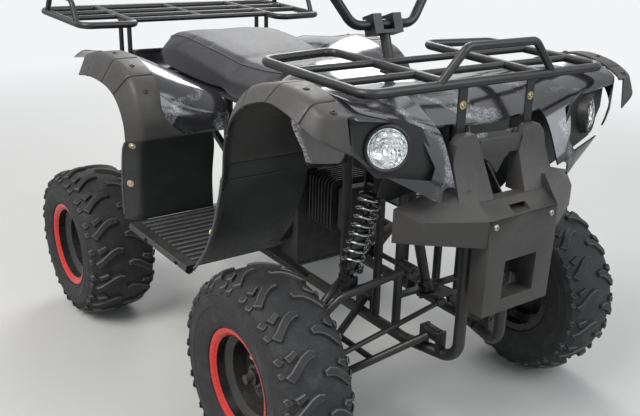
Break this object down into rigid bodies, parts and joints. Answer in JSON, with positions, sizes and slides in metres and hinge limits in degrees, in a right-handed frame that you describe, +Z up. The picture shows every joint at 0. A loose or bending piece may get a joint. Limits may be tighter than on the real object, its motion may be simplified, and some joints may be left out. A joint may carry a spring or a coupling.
{
  "type": "quad bike",
  "caption": "Small utility quad bike with knobbly tyres, tube racks front and rear, a faceted front bumper, a vinyl seat and steering that turns both front wheels.",
  "frame": {"origin": "on the floor, below the middle of the box round the whole vehicle", "axes": "+X forward, +Y to the rider's left, +Z up"},
  "size_m": [1.622, 1.008, 1.0783],
  "materials": {
    "tyre": "matte",
    "rim": "gloss",
    "bare_steel": "satin",
    "black_steel": "satin",
    "pad": "matte",
    "grip": "matte",
    "alloy": "satin",
    "shock": "polished",
    "cast": "matte",
    "matte_panel": "matte",
    "gloss_panel": "gloss",
    "lamp": "polished",
    "seat_vinyl": "satin",
    "engine": "cast",
    "exhaust": "matte",
    "red_lens": "gloss"
  },
  "bodies": {
    "chassis": {"lower_arms": "black_steel", "upper_arms": "black_steel", "front_shocks": "shock", "frame": "black_steel", "front_tower": "black_steel", "flare_front_left": "matte_panel", "flare_front_right": "matte_panel", "leg_shields": "matte_panel", "rear_flares": "matte_panel", "mudguards": "matte_panel", "foot_platforms": "matte_panel", "bonnet": "gloss_panel", "headlamps": "lamp", "rear_fender": "gloss_panel", "seat": "seat_vinyl", "tank_cover": "gloss_panel", "front_rack": "black_steel", "rear_rack": "black_steel", "bumper": "matte_panel", "engine": "engine", "cylinder": "engine", "starter_motor": "alloy", "exhaust": "exhaust", "swing_arm": "black_steel", "rear_shock": "shock", "chain": "bare_steel", "tail_lamp": "red_lens"},
    "steering": {"steering_stem": "black_steel", "handlebar": "black_steel", "bar_pad": "pad", "grips": "grip", "levers": "alloy"},
    "knuckle_left": {"knuckle_left": "cast"},
    "knuckle_right": {"knuckle_right": "cast"},
    "tie_rod_left": {"tie_rod_left": "black_steel"},
    "tie_rod_right": {"tie_rod_right": "black_steel"},
    "wheel_front_left": {"tyre_front_left": "tyre", "rim_front_left": "rim"},
    "wheel_front_right": {"tyre_front_right": "tyre", "rim_front_right": "rim"},
    "rear_axle": {"rear_axle": "bare_steel", "rim_rear_left": "rim", "tyre_rear_left": "tyre", "rim_rear_right": "rim", "tyre_rear_right": "tyre"}
  },
  "joints": [
    {"name": "steer", "type": "hinge", "parent": "chassis", "child": "steering", "pos_m": [0.547, 0, 0.318], "axis": [-0.342, 0, 0.9397], "range_deg": [-30, 30]},
    {"name": "knuckle_left", "type": "hinge", "parent": "chassis", "child": "knuckle_left", "pos_m": [0.51, 0.332, 0.231], "axis": [0, 0, 1], "range_deg": [-30, 30]},
    {"name": "tie_rod_left", "type": "hinge", "parent": "steering", "child": "tie_rod_left", "pos_m": [0.60338, 0.018, 0.33852], "axis": [-0.342, 0, 0.9397], "range_deg": [-30, 30]},
    {"name": "wheel_front_left", "type": "hinge", "parent": "knuckle_left", "child": "wheel_front_left", "pos_m": [0.51, 0.41, 0.231], "axis": [0, 1, 0], "continuous": true},
    {"name": "knuckle_right", "type": "hinge", "parent": "chassis", "child": "knuckle_right", "pos_m": [0.51, -0.332, 0.231], "axis": [0, 0, 1], "range_deg": [-30, 30]},
    {"name": "tie_rod_right", "type": "hinge", "parent": "steering", "child": "tie_rod_right", "pos_m": [0.60338, -0.018, 0.33852], "axis": [-0.342, 0, 0.9397], "range_deg": [-30, 30]},
    {"name": "wheel_front_right", "type": "hinge", "parent": "knuckle_right", "child": "wheel_front_right", "pos_m": [0.51, -0.41, 0.231], "axis": [0, 1, 0], "continuous": true},
    {"name": "rear_axle", "type": "hinge", "parent": "chassis", "child": "rear_axle", "pos_m": [-0.41, 0, 0.21], "axis": [0, 1, 0], "continuous": true}
  ],
  "couplings": [
    {"joint": "knuckle_left", "follows": "steer", "ratio": 1},
    {"joint": "tie_rod_left", "follows": "steer", "ratio": -1},
    {"joint": "knuckle_right", "follows": "steer", "ratio": 1},
    {"joint": "tie_rod_right", "follows": "steer", "ratio": -1}
  ]
}
